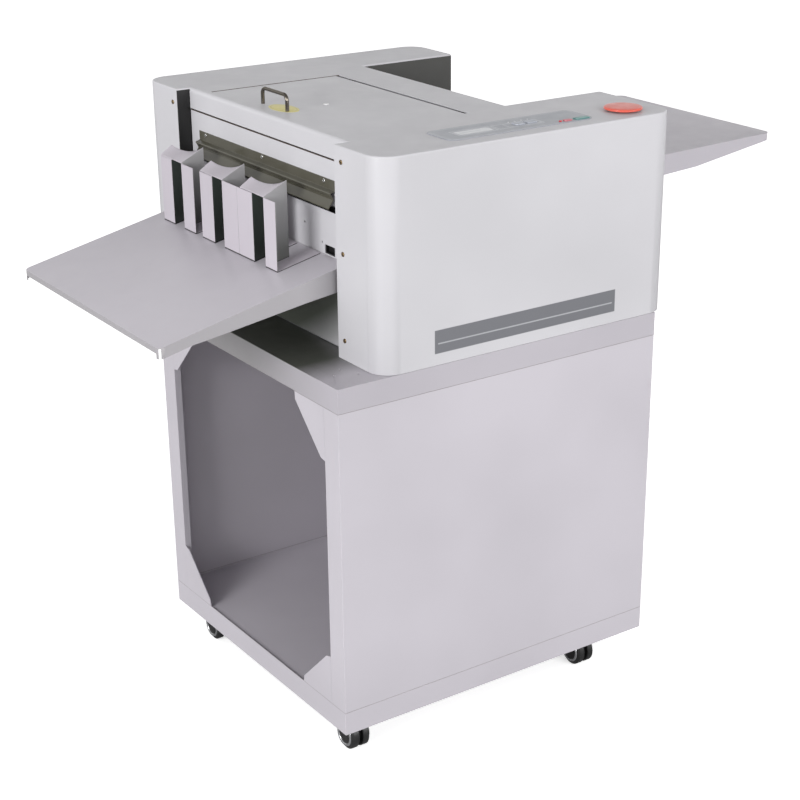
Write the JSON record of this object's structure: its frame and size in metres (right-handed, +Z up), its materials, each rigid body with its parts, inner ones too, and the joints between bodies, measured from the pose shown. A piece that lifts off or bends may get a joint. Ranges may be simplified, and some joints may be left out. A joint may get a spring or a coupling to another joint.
{
  "type": "die cutting machine",
  "caption": "Motorised sheet-fed card cutting machine on a caster stand, with a hooded slitter head, infeed and outfeed trays and card bins.",
  "frame": {"origin": "middle of the bounding box's footprint, on the floor under the casters", "axes": "+Z up; +X against the paper's travel, from the outfeed tray to the infeed tray; the operator stands at -Y"},
  "size_m": [1.242, 0.706, 0.9685],
  "materials": {
    "cover_paint": "satin powder coat",
    "stand_paint": "satin powder coat",
    "tray_paint": "satin powder coat",
    "liner_paint": "matte dark grey coat",
    "guard_lacquer": "glossy dark lacquer",
    "bin_sheet": "satin coat on thin sheet",
    "zinc_steel": "zinc plated",
    "ground_steel": "ground and polished",
    "gear_steel": "machined, lightly oiled",
    "chrome": "polished",
    "screw_brass": "yellow passivated",
    "roller_rubber": "ground rubber",
    "wheel_plastic": "moulded",
    "black_plastic": "moulded",
    "panel_film": "printed film",
    "display": "clear window",
    "key_plastic": "moulded",
    "red_plastic": "moulded",
    "green_plastic": "moulded",
    "motor_paint": "satin black",
    "board": "circuit board"
  },
  "bodies": {
    "machine_body": {"stand_near_panel": "stand_paint", "stand_far_panel": "stand_paint", "stand_back_panel": "stand_paint", "stand_base_tray": "stand_paint", "stand_top_slab": "stand_paint", "stand_corner_gussets": "stand_paint", "caster_rails_and_plates": "zinc_steel", "hood": "cover_paint", "chassis_base_plate": "zinc_steel", "near_side_frame": "zinc_steel", "far_side_frame": "zinc_steel", "frame_cross_members": "zinc_steel", "shaft_bearings": "ground_steel", "front_panel": "cover_paint", "guard_mount_strip": "cover_paint", "signal_socket": "black_plastic", "exit_guard": "guard_lacquer", "outfeed_tray": "tray_paint", "infeed_tray": "tray_paint", "feeder_well_liners": "liner_paint", "lid_supports": "zinc_steel", "control_panel": "panel_film", "button_electronics": "board", "panel_screws": "screw_brass", "power_inlet": "black_plastic", "frame_studs": "ground_steel", "drive_motor": "motor_paint"},
    "lid": {"access_lid": "cover_paint", "lid_handle": "chrome"},
    "caster_swivel_front_near": {"caster_body_front_near": "black_plastic"},
    "caster_wheel_pair_front_near": {"caster_wheels_front_near": "wheel_plastic"},
    "caster_swivel_front_far": {"caster_body_front_far": "black_plastic"},
    "caster_wheel_pair_front_far": {"caster_wheels_front_far": "wheel_plastic"},
    "caster_swivel_rear_near": {"caster_body_rear_near": "black_plastic"},
    "caster_wheel_pair_rear_near": {"caster_wheels_rear_near": "wheel_plastic"},
    "caster_swivel_rear_far": {"caster_body_rear_far": "black_plastic"},
    "caster_wheel_pair_rear_far": {"caster_wheels_rear_far": "wheel_plastic"},
    "start_key": {"start_button": "green_plastic"},
    "stop_key": {"stop_button": "red_plastic"},
    "up_key": {"key_up": "key_plastic"},
    "down_key": {"key_down": "key_plastic"},
    "emergency_stop_button": {"emergency_stop": "red_plastic"},
    "rocker": {"power_rocker": "black_plastic"},
    "bin_separator_1": {"separator_1": "bin_sheet"},
    "bin_separator_2": {"separator_2": "bin_sheet"},
    "bin_separator_3": {"separator_3": "bin_sheet"},
    "bin_separator_4": {"separator_4": "bin_sheet"},
    "bin_separator_5": {"separator_5": "bin_sheet"},
    "bin_separator_6": {"separator_6": "bin_sheet"},
    "near_guide": {"feed_guide_near": "zinc_steel"},
    "far_guide": {"feed_guide_far": "zinc_steel"},
    "lower_slitter": {"slitter_shaft_lower": "ground_steel", "slitter_gear_lower": "gear_steel"},
    "upper_slitter": {"slitter_shaft_upper": "ground_steel", "slitter_gear_upper": "gear_steel"},
    "upper_feed_roller": {"feed_roller": "roller_rubber", "feed_gear": "gear_steel"},
    "lower_pinch_roller": {"pinch_roller": "roller_rubber"},
    "idler": {"feed_idler_gear": "gear_steel"},
    "pinion": {"drive_pinion": "gear_steel"}
  },
  "joints": [
    {"name": "swivel_front_near", "type": "hinge", "parent": "machine_body", "child": "caster_swivel_front_near", "pos_m": [-0.369, -0.2935, 0.07], "axis": [0, 0, 1], "continuous": true},
    {"name": "roll_front_near", "type": "hinge", "parent": "caster_swivel_front_near", "child": "caster_wheel_pair_front_near", "pos_m": [-0.369, -0.314, 0.025], "axis": [1, 0, 0], "continuous": true},
    {"name": "swivel_front_far", "type": "hinge", "parent": "machine_body", "child": "caster_swivel_front_far", "pos_m": [-0.369, 0.1395, 0.07], "axis": [0, 0, 1], "continuous": true},
    {"name": "roll_front_far", "type": "hinge", "parent": "caster_swivel_front_far", "child": "caster_wheel_pair_front_far", "pos_m": [-0.369, 0.119, 0.025], "axis": [1, 0, 0], "continuous": true},
    {"name": "swivel_rear_near", "type": "hinge", "parent": "machine_body", "child": "caster_swivel_rear_near", "pos_m": [0.087, -0.2935, 0.07], "axis": [0, 0, 1], "continuous": true},
    {"name": "roll_rear_near", "type": "hinge", "parent": "caster_swivel_rear_near", "child": "caster_wheel_pair_rear_near", "pos_m": [0.087, -0.314, 0.025], "axis": [1, 0, 0], "continuous": true},
    {"name": "swivel_rear_far", "type": "hinge", "parent": "machine_body", "child": "caster_swivel_rear_far", "pos_m": [0.087, 0.1395, 0.07], "axis": [0, 0, 1], "continuous": true},
    {"name": "roll_rear_far", "type": "hinge", "parent": "caster_swivel_rear_far", "child": "caster_wheel_pair_rear_far", "pos_m": [0.087, 0.119, 0.025], "axis": [1, 0, 0], "continuous": true},
    {"name": "lid_hinge", "type": "hinge", "parent": "machine_body", "child": "lid", "pos_m": [-0.06, 0, 0.935], "axis": [0, 1, 0], "range_deg": [0, 95]},
    {"name": "start_key_press", "type": "slide", "parent": "machine_body", "child": "start_key", "axis": [0, 0, 1], "range_m": [-0.001, 0], "stiffness_N_per_m": 400, "springref_m": 0.0008},
    {"name": "stop_key_press", "type": "slide", "parent": "machine_body", "child": "stop_key", "axis": [0, 0, 1], "range_m": [-0.001, 0], "stiffness_N_per_m": 400, "springref_m": 0.0008},
    {"name": "up_key_press", "type": "slide", "parent": "machine_body", "child": "up_key", "axis": [0, 0, 1], "range_m": [-0.001, 0], "stiffness_N_per_m": 400, "springref_m": 0.0008},
    {"name": "down_key_press", "type": "slide", "parent": "machine_body", "child": "down_key", "axis": [0, 0, 1], "range_m": [-0.001, 0], "stiffness_N_per_m": 400, "springref_m": 0.0008},
    {"name": "emergency_stop_button_press", "type": "slide", "parent": "machine_body", "child": "emergency_stop_button", "axis": [0, 0, 1], "range_m": [-0.002, 0], "stiffness_N_per_m": 1500, "springref_m": 0.0015},
    {"name": "rocker_tilt", "type": "hinge", "parent": "machine_body", "child": "rocker", "pos_m": [0.214, -0.285, 0.712], "axis": [0, 1, 0], "range_deg": [-8, 8]},
    {"name": "separator_1_slide", "type": "slide", "parent": "machine_body", "child": "bin_separator_1", "axis": [0, 1, 0], "range_m": [-0.01, 0.01]},
    {"name": "separator_2_slide", "type": "slide", "parent": "machine_body", "child": "bin_separator_2", "axis": [0, 1, 0], "range_m": [-0.01, 0.01]},
    {"name": "separator_3_slide", "type": "slide", "parent": "machine_body", "child": "bin_separator_3", "axis": [0, 1, 0], "range_m": [-0.01, 0.01]},
    {"name": "separator_4_slide", "type": "slide", "parent": "machine_body", "child": "bin_separator_4", "axis": [0, 1, 0], "range_m": [0, 0.012]},
    {"name": "separator_5_slide", "type": "slide", "parent": "machine_body", "child": "bin_separator_5", "axis": [0, 1, 0], "range_m": [-0.012, 0]},
    {"name": "separator_6_slide", "type": "slide", "parent": "machine_body", "child": "bin_separator_6", "axis": [0, 1, 0], "range_m": [-0.01, 0.01]},
    {"name": "near_guide_slide", "type": "slide", "parent": "machine_body", "child": "near_guide", "axis": [0, 1, 0], "range_m": [-0.02, 0.09]},
    {"name": "far_guide_slide", "type": "slide", "parent": "machine_body", "child": "far_guide", "axis": [0, 1, 0], "range_m": [-0.09, 0.02]},
    {"name": "lower_slitter_spin", "type": "hinge", "parent": "machine_body", "child": "lower_slitter", "pos_m": [-0.207, 0.235, 0.805], "axis": [0, 1, 0], "continuous": true},
    {"name": "upper_slitter_spin", "type": "hinge", "parent": "machine_body", "child": "upper_slitter", "pos_m": [-0.207, 0.235, 0.859], "axis": [0, 1, 0], "continuous": true},
    {"name": "pinion_spin", "type": "hinge", "parent": "machine_body", "child": "pinion", "pos_m": [-0.207, 0.235, 0.766], "axis": [0, 1, 0], "continuous": true},
    {"name": "idler_spin", "type": "hinge", "parent": "machine_body", "child": "idler", "pos_m": [-0.15609, 0.235, 0.86208], "axis": [0, 1, 0], "continuous": true},
    {"name": "feed_roller_spin", "type": "hinge", "parent": "machine_body", "child": "upper_feed_roller", "pos_m": [-0.12, 0.235, 0.8473], "axis": [0, 1, 0], "continuous": true},
    {"name": "pinch_roller_spin", "type": "hinge", "parent": "machine_body", "child": "lower_pinch_roller", "pos_m": [-0.12, 0.235, 0.8167], "axis": [0, 1, 0], "continuous": true}
  ],
  "couplings": [
    {"joint": "upper_slitter_spin", "follows": "lower_slitter_spin", "ratio": -1},
    {"joint": "pinion_spin", "follows": "lower_slitter_spin", "ratio": -2.25},
    {"joint": "idler_spin", "follows": "lower_slitter_spin", "ratio": 1.125},
    {"joint": "feed_roller_spin", "follows": "lower_slitter_spin", "ratio": -1.8},
    {"joint": "pinch_roller_spin", "follows": "lower_slitter_spin", "ratio": 1.8},
    {"joint": "far_guide_slide", "follows": "near_guide_slide", "ratio": -1}
  ]
}
